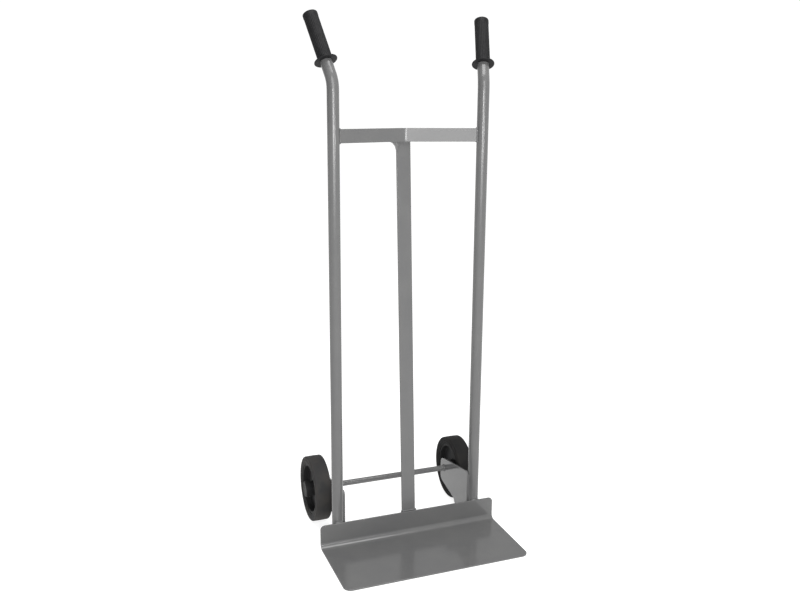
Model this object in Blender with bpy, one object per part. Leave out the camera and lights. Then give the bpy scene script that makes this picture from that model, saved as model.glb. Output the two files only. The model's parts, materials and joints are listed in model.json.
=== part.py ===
"""Tall crate trolley: a two-wheeled hand truck of painted steel tube, bar and sheet.

Metres, +Z up. The toe plate and the wheels stand on Z = 0. The toe plate points along -Y, the
wheels stand behind it along +Y, and X runs from the left rail to the right one. The origin is on
the floor, at the middle of the whole trolley's width and depth.
"""

import math

import bmesh
import bpy
from mathutils import Matrix, Vector

# Clearances
WELD_GAP = 0.0003
RUNNING_GAP = 0.0003
CUT_OVERRUN = 0.002

# Toe plate: one sheet bent to an L, its upstand facing the load
TOE_WIDTH = 0.500
TOE_LENGTH = 0.218
TOE_THICKNESS = 0.004
TOE_BEND_RADIUS = 0.013
TOE_CORNER_RADIUS = 0.020
UPSTAND_HEIGHT = 0.065
UPSTAND_CORNER_RADIUS = 0.012

# Rails: two round tubes, each bent back and outward to a handle
RAIL_SPACING = 0.395
RAIL_DIAMETER = 0.030
RAIL_WALL = 0.002
RAIL_FLOOR_GAP = 0.006
HANDLE_BEND_HEIGHT = 1.176
HANDLE_BEND_RADIUS = 0.070
HANDLE_NECK_LENGTH = 0.034
HANDLE_LEAN_ANGLE = math.radians(30.0)
HANDLE_SPLAY_ANGLE = math.radians(19.3)

# Grips: moulded sleeves with a round hand guard at the mouth and a thicker head
GRIP_LENGTH = 0.130
GRIP_WALL = 0.0028
GRIP_END_WALL = 0.004
GRIP_HEAD_STEP = 0.0005
GRIP_HEAD_LENGTH = 0.011
GRIP_EDGE_RADIUS = 0.003
GUARD_REACH = 0.0105
GUARD_THICKNESS = 0.0035
GUARD_FILLET = 0.005

# Crossbar: a flat bar on edge, bent back at its middle
CROSSBAR_HEIGHT = 0.034
CROSSBAR_THICKNESS = 0.005
CROSSBAR_LEVEL = 1.067
CROSSBAR_SETBACK = 0.044
CROSSBAR_BEND_RADIUS = 0.040

# Centre post: a flat bar from the upstand's back to the crossbar's back
POST_WIDTH = 0.038
POST_THICKNESS = 0.005
POST_FLOOR_GAP = 0.008
POST_TOP_INSET = 0.002

# Wheel brackets: plates welded inside the rails, with a low foot in front and the axle behind
BRACKET_THICKNESS = 0.005
BRACKET_FRONT_LAP = 0.0035
BRACKET_FRONT_HEIGHT = 0.147
BRACKET_FLOOR_GAP = 0.010
BRACKET_FOOT_LENGTH = 0.075
BRACKET_STEP_LENGTH = 0.013
BRACKET_STEP_HEIGHT = 0.018
BRACKET_REAR_REACH = 0.021
BRACKET_REAR_RISE = 0.026
BRACKET_REAR_DROP = 0.040
BRACKET_SMALL_RADIUS = 0.005
BRACKET_FRONT_RADIUS = 0.010
BRACKET_REAR_RADIUS = 0.018

# Axle, its washers and its split pins
AXLE_SETBACK = 0.179
AXLE_DIAMETER = 0.016
AXLE_CHAMFER = 0.001
AXLE_END_MARGIN = 0.004
WASHER_BAND = 0.0067
WASHER_THICKNESS = 0.003
PIN_WIRE_DIAMETER = 0.0016
PIN_LEG_SPREAD = 0.0019
PIN_EYE_RADIUS = 0.003
PIN_LEG_REACH = 0.005
PIN_TIP_SPREAD = 0.0045

# Wheels: a solid rubber tyre on a moulded centre whose hub is longer on the inside
WHEEL_DIAMETER = 0.180
TYRE_WIDTH = 0.045
TYRE_DEPTH = 0.0215
TYRE_SHOULDER_RADIUS = 0.0035
TYRE_SIDE_RECESS = 0.0015
TYRE_BEAD_HEIGHT = 0.005
RIM_WIDTH = 0.038
RIM_WALL = 0.0045
RIM_DRAFT = 0.002
WEB_THICKNESS = 0.007
HUB_WALL = 0.0067
HUB_INNER_REACH = 0.0045
HUB_OUTER_INSET = 0.0015
BEARING_WALL = 0.0047
BEARING_INSET = 0.0005
BEARING_GROOVE_DEPTH = 0.0012
BEARING_COLLAR_LENGTH = 0.006

# Hub caps: cups pushed over the hubs' outer ends
CAP_WALL = 0.0015
CAP_OVERLAP = 0.006
CAP_END_CLEARANCE = 0.001
CAP_EDGE_RADIUS = 0.003

# Facets of the round pieces
TUBE_SIDES = 24
WIRE_SIDES = 8
PIN_HOLE_SIDES = 16
WHEEL_SIDES = 48
SMALL_SIDES = 32
BEND_STEPS = 6
CORNER_STEPS = 5
SMOOTH_ANGLE = math.radians(35)
MERGE_SHARE = 0.001

# Places worked out from the sizes above
WHEEL_RADIUS = WHEEL_DIAMETER / 2
AXLE_RADIUS = AXLE_DIAMETER / 2
RAIL_RADIUS = RAIL_DIAMETER / 2
HEEL_Y = (TOE_LENGTH - AXLE_SETBACK - WHEEL_RADIUS) / 2
UPSTAND_BACK_Y = HEEL_Y + TOE_THICKNESS
RAIL_X = RAIL_SPACING / 2
RAIL_Y = UPSTAND_BACK_Y + WELD_GAP + RAIL_RADIUS
RAIL_INSIDE_X = RAIL_X - RAIL_RADIUS - WELD_GAP
AXLE_Y = HEEL_Y + AXLE_SETBACK
BORE_RADIUS = AXLE_RADIUS + RUNNING_GAP
HUB_BORE_RADIUS = BORE_RADIUS + BEARING_WALL + WELD_GAP
HUB_RADIUS = HUB_BORE_RADIUS + HUB_WALL
TYRE_SEAT_RADIUS = WHEEL_RADIUS - TYRE_DEPTH
CAP_MOUTH = TYRE_WIDTH / 2 - HUB_OUTER_INSET - CAP_OVERLAP
HUB_START_X = RAIL_INSIDE_X + WASHER_THICKNESS + RUNNING_GAP * 2
WHEEL_X = HUB_START_X + HUB_INNER_REACH + TYRE_WIDTH / 2
HUB_END_X = WHEEL_X + TYRE_WIDTH / 2 - HUB_OUTER_INSET
PIN_X = HUB_END_X + WASHER_THICKNESS + PIN_WIRE_DIAMETER / 2 + RUNNING_GAP * 3
AXLE_HALF_LENGTH = PIN_X + AXLE_END_MARGIN

SIDES = {"left": -1, "right": 1}


def make_material(name, colour, roughness, metallic):
    """One Principled material; colour is linear red, green and blue."""
    material = bpy.data.materials.new(name)
    material.use_nodes = True
    shader = material.node_tree.nodes["Principled BSDF"]
    shader.inputs["Base Color"].default_value = (*colour, 1.0)
    shader.inputs["Roughness"].default_value = roughness
    shader.inputs["Metallic"].default_value = metallic
    return material


def add_object(name, bm, material, matrix=None, parent=None):
    """Turn a finished bmesh into a named object, smooth where its faces meet gently."""
    bmesh.ops.recalc_face_normals(bm, faces=bm.faces)
    mesh = bpy.data.meshes.new(name)
    bm.to_mesh(mesh)
    bm.free()
    mesh.shade_smooth()
    mesh.set_sharp_from_angle(angle=SMOOTH_ANGLE)
    mesh.materials.append(material)
    obj = bpy.data.objects.new(name, mesh)
    bpy.context.scene.collection.objects.link(obj)
    obj.parent = parent
    if matrix is not None:
        obj.matrix_local = matrix
    return obj


def add_empty(name, location):
    empty = bpy.data.objects.new(name, None)
    empty.location = location
    bpy.context.scene.collection.objects.link(empty)
    return empty


def cut(obj, cutter):
    """Take the cutter's shape out of the object with a Boolean, and leave the cutter as a helper."""
    cutter.hide_render = True
    cutter.display_type = "WIRE"
    boolean = obj.modifiers.new("cut_" + cutter.name, "BOOLEAN")
    boolean.operation = "DIFFERENCE"
    boolean.object = cutter


def join_loops(bm, lower, upper):
    """Fill between two loops of as many points with four-sided faces."""
    count = len(lower)
    for i in range(count):
        j = (i + 1) % count
        bm.faces.new((lower[i], lower[j], upper[j], upper[i]))


def loft(loops, inner_loops=None):
    """A closed skin through loops of points, solid or, with inner loops, open at both ends."""
    bm = bmesh.new()
    outer = [[bm.verts.new(point) for point in loop] for loop in loops]
    for lower, upper in zip(outer, outer[1:]):
        join_loops(bm, lower, upper)
    if inner_loops is None:
        bm.faces.new(outer[0])
        bm.faces.new(outer[-1])
        return bm
    inner = [[bm.verts.new(point) for point in loop] for loop in inner_loops]
    for lower, upper in zip(inner, inner[1:]):
        join_loops(bm, lower, upper)
    join_loops(bm, inner[0], outer[0])
    join_loops(bm, inner[-1], outer[-1])
    return bm


def turned(profile, sides):
    """Spin a closed outline of (radius, height) points once round the local Z axis."""
    bm = bmesh.new()
    verts = [bm.verts.new((radius, 0.0, height)) for radius, height in profile]
    edges = [bm.edges.new((a, b)) for a, b in zip(verts, verts[1:] + verts[:1])]
    on_axis = [e for e in edges if all(v.co.x == 0.0 for v in e.verts)]
    for edge in on_axis:
        edges.remove(edge)
        bm.edges.remove(edge)
    bmesh.ops.spin(
        bm,
        geom=verts + edges,
        cent=(0.0, 0.0, 0.0),
        axis=(0.0, 0.0, 1.0),
        angle=2 * math.pi,
        steps=sides,
        use_merge=True,
    )
    shortest = min(math.dist(a, b) for a, b in zip(profile, profile[1:] + profile[:1]))
    bmesh.ops.remove_doubles(bm, verts=bm.verts, dist=shortest * MERGE_SHARE)
    return bm


def tube_loops(points, plane_normal, radius, sides):
    """Rings square to a path that lies in one plane."""
    loops = []
    angles = [2 * math.pi * k / sides for k in range(sides)]
    for i, point in enumerate(points):
        before = (point - points[i - 1]).normalized() if i else Vector()
        after = (points[i + 1] - point).normalized() if i + 1 < len(points) else Vector()
        sideways = plane_normal.cross(before + after).normalized()
        spokes = [math.cos(a) * sideways + math.sin(a) * plane_normal for a in angles]
        loops.append([point + radius * spoke for spoke in spokes])
    return loops


def arc(centre, radius, start_angle, end_angle, steps):
    """Points (u, v) along an arc, both ends included."""
    angles = [start_angle + (end_angle - start_angle) * i / steps for i in range(steps + 1)]
    return [(centre[0] + radius * math.cos(a), centre[1] + radius * math.sin(a)) for a in angles]


def rounded_outline(corners):
    """Round each corner (u, v, radius) of an anticlockwise outline, whether it juts out or in."""
    points = []
    for i, (u, v, radius) in enumerate(corners):
        corner = Vector((u, v))
        back = (Vector(corners[i - 1][:2]) - corner).normalized()
        ahead = (Vector(corners[(i + 1) % len(corners)][:2]) - corner).normalized()
        half = back.angle(ahead) / 2
        centre = corner + (back + ahead).normalized() * radius / math.sin(half)
        start = (corner + back * radius / math.tan(half)) - centre
        turn = math.copysign(math.pi - 2 * half, ahead.cross(back))
        first = math.atan2(start.y, start.x)
        points += arc(centre, radius, first, first + turn, CORNER_STEPS)
    return points


def end_half_width(half_width, radius, distance):
    """Half the width of a sheet at a distance from an end whose corners are rounded."""
    inside = max(radius - distance, 0.0)
    return half_width - radius + math.sqrt(radius**2 - inside**2)


def corner_distances(radius):
    """Distances from a rounded end, closer together where the corner turns away."""
    turns = [math.pi / 2 * i / CORNER_STEPS for i in range(CORNER_STEPS + 1)]
    return [radius * (1 - math.cos(turn)) for turn in turns]


def add_toe_plate(material):
    """Carry the sheet's cross-section from the front edge, round the bend, to the upstand's top."""
    bend_middle = TOE_BEND_RADIUS + TOE_THICKNESS / 2
    half_sheet = TOE_THICKNESS / 2
    front_y = HEEL_Y - TOE_LENGTH
    stations = []
    for distance in corner_distances(TOE_CORNER_RADIUS):
        width = end_half_width(TOE_WIDTH / 2, TOE_CORNER_RADIUS, distance)
        stations.append((width, front_y + distance, half_sheet, Vector((0, 0, 1))))
    for i in range(BEND_STEPS + 1):
        turn = math.pi / 2 * i / BEND_STEPS
        y = HEEL_Y - TOE_BEND_RADIUS + bend_middle * math.sin(turn)
        z = half_sheet + bend_middle * (1 - math.cos(turn))
        stations.append((TOE_WIDTH / 2, y, z, Vector((0, -math.sin(turn), math.cos(turn)))))
    for distance in reversed(corner_distances(UPSTAND_CORNER_RADIUS)):
        width = end_half_width(TOE_WIDTH / 2, UPSTAND_CORNER_RADIUS, distance)
        stations.append((width, HEEL_Y + half_sheet, UPSTAND_HEIGHT - distance, Vector((0, -1, 0))))
    loops = []
    for width, y, z, face in stations:
        left = Vector((-width, y, z))
        right = Vector((width, y, z))
        lift = face * half_sheet
        loops.append([left - lift, right - lift, right + lift, left + lift])
    add_object("toe_plate", loft(loops), material)


def handle_level(side):
    """The level direction in which a handle leans: back, and outward to its own side."""
    return Vector((side * math.sin(HANDLE_SPLAY_ANGLE), math.cos(HANDLE_SPLAY_ANGLE), 0.0))


def handle_direction(side):
    """The direction of the straight handle above the bend."""
    upright = Vector((0, 0, math.cos(HANDLE_LEAN_ANGLE)))
    return handle_level(side) * math.sin(HANDLE_LEAN_ANGLE) + upright


def handle_bend(side):
    """Points round the handle's bend, from the straight rail to the straight handle."""
    start = Vector((side * RAIL_X, RAIL_Y, HANDLE_BEND_HEIGHT))
    points = []
    for i in range(BEND_STEPS + 1):
        turn = HANDLE_LEAN_ANGLE * i / BEND_STEPS
        rise = Vector((0, 0, HANDLE_BEND_RADIUS * math.sin(turn)))
        points.append(start + handle_level(side) * HANDLE_BEND_RADIUS * (1 - math.cos(turn)) + rise)
    return points


def add_rail(name, side, material):
    """A hollow tube: straight from the floor gap to the bend, then up inside the grip."""
    bend = handle_bend(side)
    foot = Vector((side * RAIL_X, RAIL_Y, RAIL_FLOOR_GAP))
    reach = HANDLE_NECK_LENGTH + GRIP_LENGTH - GRIP_END_WALL - WELD_GAP
    path = [foot] + bend + [bend[-1] + handle_direction(side) * reach]
    normal = handle_level(side).cross(Vector((0, 0, 1)))
    outer = tube_loops(path, normal, RAIL_RADIUS, TUBE_SIDES)
    inner = tube_loops(path, normal, RAIL_RADIUS - RAIL_WALL, TUBE_SIDES)
    add_object(name, loft(outer, inner), material)


def add_grip(name, side, material):
    """A sleeve closed at its top, with a thin round guard at its mouth and a thicker head."""
    bore = RAIL_RADIUS + WELD_GAP
    body = bore + GRIP_WALL
    head = body + GRIP_HEAD_STEP
    head_start = GRIP_LENGTH - GRIP_HEAD_LENGTH
    half_guard = GUARD_THICKNESS / 2
    profile = [(0.0, GRIP_LENGTH - GRIP_END_WALL), (bore, GRIP_LENGTH - GRIP_END_WALL), (bore, 0.0)]
    guard_centre = (body + GUARD_REACH - half_guard, half_guard)
    profile += arc(guard_centre, half_guard, -math.pi / 2, math.pi / 2, CORNER_STEPS)
    fillet_centre = (body + GUARD_FILLET, GUARD_THICKNESS + GUARD_FILLET)
    profile += arc(fillet_centre, GUARD_FILLET, -math.pi / 2, -math.pi, CORNER_STEPS)
    profile += [(body, head_start - GRIP_HEAD_STEP), (head, head_start)]
    top_centre = (head - GRIP_EDGE_RADIUS, GRIP_LENGTH - GRIP_EDGE_RADIUS)
    profile += arc(top_centre, GRIP_EDGE_RADIUS, 0.0, math.pi / 2, CORNER_STEPS)
    profile.append((0.0, GRIP_LENGTH))
    direction = handle_direction(side)
    mouth = handle_bend(side)[-1] + direction * HANDLE_NECK_LENGTH
    matrix = Matrix.Translation(mouth) @ direction.to_track_quat("Z", "Y").to_matrix().to_4x4()
    add_object(name, turned(profile, SMALL_SIDES), material, matrix)


def crossbar_slope():
    """Angle between each half of the crossbar and the X axis, tangent to the bend at its middle."""
    centre_setback = CROSSBAR_SETBACK - CROSSBAR_BEND_RADIUS
    reach = math.hypot(RAIL_INSIDE_X, centre_setback)
    return math.asin(CROSSBAR_BEND_RADIUS / reach) + math.atan2(centre_setback, RAIL_INSIDE_X)


def add_crossbar(material):
    """Carry a tall thin rectangle from the left rail, round the bend, to the right rail."""
    slope = crossbar_slope()
    half = CROSSBAR_THICKNESS / 2
    centre = Vector((0, RAIL_Y + CROSSBAR_SETBACK - CROSSBAR_BEND_RADIUS, 0))
    cut_half = Vector((0, half / math.cos(slope), 0))
    stations = [(Vector((-RAIL_INSIDE_X, RAIL_Y, 0)), cut_half)]
    for i in range(BEND_STEPS + 1):
        turn = slope * (2 * i / BEND_STEPS - 1)
        outward = Vector((math.sin(turn), math.cos(turn), 0))
        stations.append((centre + outward * CROSSBAR_BEND_RADIUS, outward * half))
    stations.append((Vector((RAIL_INSIDE_X, RAIL_Y, 0)), cut_half))
    low = Vector((0, 0, CROSSBAR_LEVEL - CROSSBAR_HEIGHT / 2))
    high = Vector((0, 0, CROSSBAR_LEVEL + CROSSBAR_HEIGHT / 2))
    loops = [[p - t + low, p + t + low, p + t + high, p - t + high] for p, t in stations]
    add_object("crossbar", loft(loops), material)


def add_centre_post(material):
    """A flat bar that leans back from the upstand's back face to the crossbar's back face."""
    half = POST_THICKNESS / 2
    foot_y = UPSTAND_BACK_Y + WELD_GAP + half
    contact_y = RAIL_Y + CROSSBAR_SETBACK + CROSSBAR_THICKNESS / 2 + WELD_GAP + half
    contact_z = CROSSBAR_LEVEL - CROSSBAR_HEIGHT / 2
    top_z = CROSSBAR_LEVEL + CROSSBAR_HEIGHT / 2 - POST_TOP_INSET
    lean = (contact_y - foot_y) / (contact_z - POST_FLOOR_GAP)
    loops = []
    for z in (POST_FLOOR_GAP, top_z):
        y = foot_y + lean * (z - POST_FLOOR_GAP)
        corners = ((-1, -1), (1, -1), (1, 1), (-1, 1))
        loops.append([Vector((a * POST_WIDTH / 2, y + b * half, z)) for a, b in corners])
    add_object("centre_post", loft(loops), material)


def bracket_outline():
    """The bracket's edge as (Y, Z) points: foot, step up, round rear end, sloping top."""
    front_y = RAIL_Y - BRACKET_FRONT_LAP
    foot_y = front_y + BRACKET_FOOT_LENGTH
    step_y = foot_y + BRACKET_STEP_LENGTH
    rear_y = AXLE_Y + BRACKET_REAR_REACH
    corners = [
        (front_y, BRACKET_FLOOR_GAP, BRACKET_SMALL_RADIUS),
        (foot_y, BRACKET_FLOOR_GAP, BRACKET_SMALL_RADIUS),
        (step_y, BRACKET_FLOOR_GAP + BRACKET_STEP_HEIGHT, BRACKET_FRONT_RADIUS),
        (rear_y, WHEEL_RADIUS - BRACKET_REAR_DROP, BRACKET_REAR_RADIUS),
        (rear_y, WHEEL_RADIUS + BRACKET_REAR_RISE, BRACKET_REAR_RADIUS),
        (front_y, BRACKET_FRONT_HEIGHT, BRACKET_FRONT_RADIUS),
    ]
    return rounded_outline(corners)


def facing(side, x, y, z):
    """A matrix that turns a piece's local Z outward along X, with its origin at a point."""
    return Matrix.Translation((x, y, z)) @ Matrix.Rotation(side * math.pi / 2, 4, "Y")


def add_bracket(name, side, material):
    """One bracket with the axle's hole through it, its outer face against the rail's inside."""
    middle_x = side * (RAIL_INSIDE_X - BRACKET_THICKNESS / 2)
    half = BRACKET_THICKNESS / 2
    loops = [[Vector((x, y, z)) for y, z in bracket_outline()] for x in (-half, half)]
    bracket = add_object(name, loft(loops), material, Matrix.Translation((middle_x, 0, 0)))
    radius = AXLE_RADIUS + WELD_GAP
    reach = half + CUT_OVERRUN
    profile = [(0.0, -reach), (radius, -reach), (radius, reach), (0.0, reach)]
    place = facing(side, middle_x, AXLE_Y, WHEEL_RADIUS)
    cut(bracket, add_object(name + "_axle_hole", turned(profile, SMALL_SIDES), material, place))


def add_axle(material):
    """A round bar across both brackets, chamfered, with a pin hole near each end."""
    half = AXLE_HALF_LENGTH
    profile = [
        (0.0, -half),
        (AXLE_RADIUS - AXLE_CHAMFER, -half),
        (AXLE_RADIUS, -half + AXLE_CHAMFER),
        (AXLE_RADIUS, half - AXLE_CHAMFER),
        (AXLE_RADIUS - AXLE_CHAMFER, half),
        (0.0, half),
    ]
    place = facing(1, 0, AXLE_Y, WHEEL_RADIUS)
    axle = add_object("axle", turned(profile, SMALL_SIDES), material, place)
    hole = PIN_LEG_SPREAD / 2 + PIN_WIRE_DIAMETER / 2 + RUNNING_GAP
    reach = AXLE_RADIUS + CUT_OVERRUN
    hole_profile = [(0.0, -reach), (hole, -reach), (hole, reach), (0.0, reach)]
    for side_name, side in SIDES.items():
        place = Matrix.Translation((side * PIN_X, AXLE_Y, WHEEL_RADIUS))
        hole_shape = turned(hole_profile, PIN_HOLE_SIDES)
        cut(axle, add_object(side_name + "_pin_hole", hole_shape, material, place))


def add_split_pin(name, side, material):
    """One wire: up a leg, round the eye above the axle and down again, its tips spread below."""
    leg = PIN_LEG_SPREAD / 2
    eye_centre = AXLE_RADIUS + PIN_WIRE_DIAMETER + PIN_EYE_RADIUS
    half_path = [
        (PIN_TIP_SPREAD, -AXLE_RADIUS - PIN_LEG_REACH),
        (leg + PIN_WIRE_DIAMETER / 2, -AXLE_RADIUS - PIN_LEG_REACH / 2),
        (leg, -AXLE_RADIUS),
        (leg, AXLE_RADIUS),
    ]
    start = math.asin(leg / PIN_EYE_RADIUS)
    eye = arc((0.0, eye_centre), PIN_EYE_RADIUS, start - math.pi / 2, math.pi / 2, CORNER_STEPS)
    half_path += eye[:-1]
    outline = half_path + [eye[-1]] + [(-y, z) for y, z in reversed(half_path)]
    points = [Vector((0, y, z)) for y, z in outline]
    loops = tube_loops(points, Vector((1, 0, 0)), PIN_WIRE_DIAMETER / 2, WIRE_SIDES)
    add_object(name, loft(loops), material, Matrix.Translation((side * PIN_X, AXLE_Y, WHEEL_RADIUS)))


def add_washer(name, x, material):
    """A flat ring on the axle."""
    half = WASHER_THICKNESS / 2
    outer = BORE_RADIUS + WASHER_BAND
    profile = [(BORE_RADIUS, -half), (outer, -half), (outer, half), (BORE_RADIUS, half)]
    add_object(name, turned(profile, SMALL_SIDES), material, facing(1, x, AXLE_Y, WHEEL_RADIUS))


def add_tyre(name, parent, material):
    """A solid tyre: square shoulders with a small round, and side walls set in above the bead."""
    seat = TYRE_SEAT_RADIUS + WELD_GAP
    half = TYRE_WIDTH / 2
    bead_top = seat + TYRE_BEAD_HEIGHT
    shoulder = (WHEEL_RADIUS - TYRE_SHOULDER_RADIUS, half - TYRE_SHOULDER_RADIUS)
    upper = [(seat, half - TYRE_SIDE_RECESS), (bead_top, half - TYRE_SIDE_RECESS)]
    upper += [(bead_top + TYRE_SIDE_RECESS, half)]
    upper += arc(shoulder, TYRE_SHOULDER_RADIUS, math.pi / 2, 0.0, CORNER_STEPS)
    profile = upper + [(r, -x) for r, x in reversed(upper)]
    add_object(name, turned(profile, WHEEL_SIDES), material, facing(1, 0, 0, 0), parent)


def add_wheel_rim(name, side, parent, material):
    """A moulded centre: an off-centre hub, a thin web and the band that the tyre sits on."""
    band_inside = TYRE_SEAT_RADIUS - RIM_WALL
    half_rim = RIM_WIDTH / 2
    half_web = WEB_THICKNESS / 2
    outer_end = TYRE_WIDTH / 2 - HUB_OUTER_INSET
    inner_end = TYRE_WIDTH / 2 + HUB_INNER_REACH
    rim_side = [
        (HUB_RADIUS, CAP_MOUTH - WELD_GAP),
        (HUB_RADIUS + RIM_DRAFT, half_web),
        (band_inside - RIM_DRAFT, half_web),
        (band_inside, half_rim),
        (TYRE_SEAT_RADIUS, half_rim),
    ]
    profile = [(HUB_BORE_RADIUS, outer_end), (HUB_RADIUS, outer_end)] + rim_side
    profile += [(r, -x) for r, x in reversed(rim_side)]
    profile += [(HUB_RADIUS, -inner_end), (HUB_BORE_RADIUS, -inner_end)]
    add_object(name, turned(profile, WHEEL_SIDES), material, facing(side, 0, 0, 0), parent)


def add_bearing(name, side, parent, material):
    """The bearing's cage between axle and hub: a sleeve with a collar at each end."""
    outer = BORE_RADIUS + BEARING_WALL
    waist = outer - BEARING_GROOVE_DEPTH
    top = TYRE_WIDTH / 2 - HUB_OUTER_INSET - BEARING_INSET
    bottom = -TYRE_WIDTH / 2 - HUB_INNER_REACH + BEARING_INSET
    profile = [
        (BORE_RADIUS, top),
        (outer, top),
        (outer, top - BEARING_COLLAR_LENGTH),
        (waist, top - BEARING_COLLAR_LENGTH),
        (waist, bottom + BEARING_COLLAR_LENGTH),
        (outer, bottom + BEARING_COLLAR_LENGTH),
        (outer, bottom),
        (BORE_RADIUS, bottom),
    ]
    add_object(name, turned(profile, SMALL_SIDES), material, facing(side, 0, 0, 0), parent)


def add_hub_cap(name, side, parent, material):
    """A cup over the hub's outer end, hiding the axle's end, its washer and its pin."""
    inner = HUB_RADIUS + WELD_GAP
    outer = inner + CAP_WALL
    roof = AXLE_HALF_LENGTH - WHEEL_X + CAP_END_CLEARANCE
    top = roof + CAP_WALL
    profile = [(0.0, roof), (inner - CAP_WALL, roof), (inner, roof - CAP_WALL)]
    profile += [(inner, CAP_MOUTH), (outer, CAP_MOUTH)]
    edge = (outer - CAP_EDGE_RADIUS, top - CAP_EDGE_RADIUS)
    profile += arc(edge, CAP_EDGE_RADIUS, 0.0, math.pi / 2, CORNER_STEPS)
    profile.append((0.0, top))
    add_object(name, turned(profile, SMALL_SIDES), material, facing(side, 0, 0, 0), parent)


def add_wheel(side_name, side, materials):
    """Everything that turns together, on an empty at the middle of the tyre."""
    centre = add_empty(side_name + "_wheel_centre", (side * WHEEL_X, AXLE_Y, WHEEL_RADIUS))
    add_tyre(side_name + "_tyre", centre, materials["tyre"])
    add_wheel_rim(side_name + "_wheel_rim", side, centre, materials["plastic"])
    add_bearing(side_name + "_bearing", side, centre, materials["bearing"])
    add_hub_cap(side_name + "_hub_cap", side, centre, materials["plastic"])


def main():
    for obj in list(bpy.data.objects):
        bpy.data.objects.remove(obj)
    materials = {
        "paint": make_material("grey_paint", (0.22, 0.22, 0.22), 0.38, 0.0),
        "steel": make_material("zinc_steel", (0.42, 0.42, 0.41), 0.35, 1.0),
        "tyre": make_material("black_rubber", (0.026, 0.026, 0.027), 0.75, 0.0),
        "plastic": make_material("black_plastic", (0.018, 0.018, 0.019), 0.5, 0.0),
        "bearing": make_material("pale_nylon", (0.55, 0.53, 0.47), 0.5, 0.0),
        "grip": make_material("black_grip", (0.03, 0.03, 0.031), 0.6, 0.0),
    }
    add_toe_plate(materials["paint"])
    add_crossbar(materials["paint"])
    add_centre_post(materials["paint"])
    add_axle(materials["paint"])
    inner_x = RAIL_INSIDE_X + RUNNING_GAP + WASHER_THICKNESS / 2
    outer_x = HUB_END_X + RUNNING_GAP + WASHER_THICKNESS / 2
    for side_name, side in SIDES.items():
        add_rail(side_name + "_rail", side, materials["paint"])
        add_grip(side_name + "_grip", side, materials["grip"])
        add_bracket(side_name + "_wheel_bracket", side, materials["paint"])
        add_washer(side_name + "_inner_washer", side * inner_x, materials["steel"])
        add_washer(side_name + "_outer_washer", side * outer_x, materials["steel"])
        add_split_pin(side_name + "_split_pin", side, materials["steel"])
        add_wheel(side_name, side, materials)


main()
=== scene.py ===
"""Looks of the tall crate trolley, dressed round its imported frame.

Metres, in the frame's own axes: +Z up, the toe plate towards -Y, the wheels behind it, and X from
the left rail to the right one. Each sub-assembly is a class whose fields are its sizes. Its places
come from the frame's nodes, so every piece sits where the solid that it stands for sits.
"""

from __future__ import annotations

import json
import logging
import math
from dataclasses import dataclass, replace
from enum import Enum
from functools import cache
from typing import Sequence

import bmesh
import bpy
import numpy as np
from mathutils import Matrix, Vector

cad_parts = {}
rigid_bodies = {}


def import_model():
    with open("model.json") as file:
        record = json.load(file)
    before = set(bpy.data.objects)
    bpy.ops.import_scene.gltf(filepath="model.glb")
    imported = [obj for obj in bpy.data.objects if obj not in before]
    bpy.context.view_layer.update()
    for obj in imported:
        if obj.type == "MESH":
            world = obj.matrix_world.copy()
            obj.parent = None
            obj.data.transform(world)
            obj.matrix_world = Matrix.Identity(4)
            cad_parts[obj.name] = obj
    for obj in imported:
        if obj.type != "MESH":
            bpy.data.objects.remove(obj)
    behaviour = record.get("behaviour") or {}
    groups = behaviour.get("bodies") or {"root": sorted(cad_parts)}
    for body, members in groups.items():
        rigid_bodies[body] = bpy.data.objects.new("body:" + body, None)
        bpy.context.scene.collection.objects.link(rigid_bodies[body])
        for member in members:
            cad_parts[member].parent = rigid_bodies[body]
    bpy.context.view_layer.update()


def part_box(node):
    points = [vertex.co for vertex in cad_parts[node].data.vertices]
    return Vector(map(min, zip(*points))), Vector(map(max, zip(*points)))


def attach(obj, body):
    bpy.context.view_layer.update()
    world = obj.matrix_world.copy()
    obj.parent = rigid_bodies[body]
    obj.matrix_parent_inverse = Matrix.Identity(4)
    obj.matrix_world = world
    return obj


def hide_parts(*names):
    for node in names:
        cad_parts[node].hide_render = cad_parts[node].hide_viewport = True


for startup_object in list(bpy.data.objects):
    bpy.data.objects.remove(startup_object)
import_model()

MERGE_DISTANCE = 1e-7
SHARP_ANGLE = math.radians(38)
WELD_GAP = 0.0003
BAR_THICKNESS = 0.005
RIGHT = (1.0, 0.0, 0.0)
UP = np.array((0.0, 0.0, 1.0))

log = logging.getLogger("crate_trolley")
Array = np.ndarray
Corner = tuple[float, float, float]
Tree = bpy.types.NodeTree
Socket = bpy.types.NodeSocket


class Side(Enum):
    """The trolley's two sides, as seen by someone who stands before the toe plate."""

    LEFT = -1
    RIGHT = 1

    def named(self, piece: str) -> str:
        """Name of this side's piece."""
        return f"{self.name.lower()}_{piece}"


class Ends(Enum):
    """How a grid of points is closed across its first and last rows."""

    CAPPED = "one flat face fills each end row"
    JOINED = "the last row runs on into the first"
    OPEN = "left open, for another skin or a pole to close"


class Relief(Enum):
    """The small unevenness of a finish."""

    ORANGE_PEEL = "sprayed and baked powder"
    MOULDED = "fine grain from a mould"
    DRAWN = "fine lines along X from drawing or turning"

    @property
    def layers(self) -> float:
        """Number of finer layers in the relief's noise."""
        return 2.0 if self is Relief.ORANGE_PEEL else 5.0


@dataclass(frozen=True)
class Box:
    """A node's lowest and highest corners."""

    low: Array
    high: Array

    @classmethod
    def of(cls, node: str) -> Box:
        """Box of one of the frame's nodes."""
        low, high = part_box(node)
        return cls(np.array(low), np.array(high))

    @property
    def centre(self) -> Array:
        """The box's middle."""
        return (self.low + self.high) / 2

    @property
    def size(self) -> Array:
        """The box's width, depth and height."""
        return self.high - self.low


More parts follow.
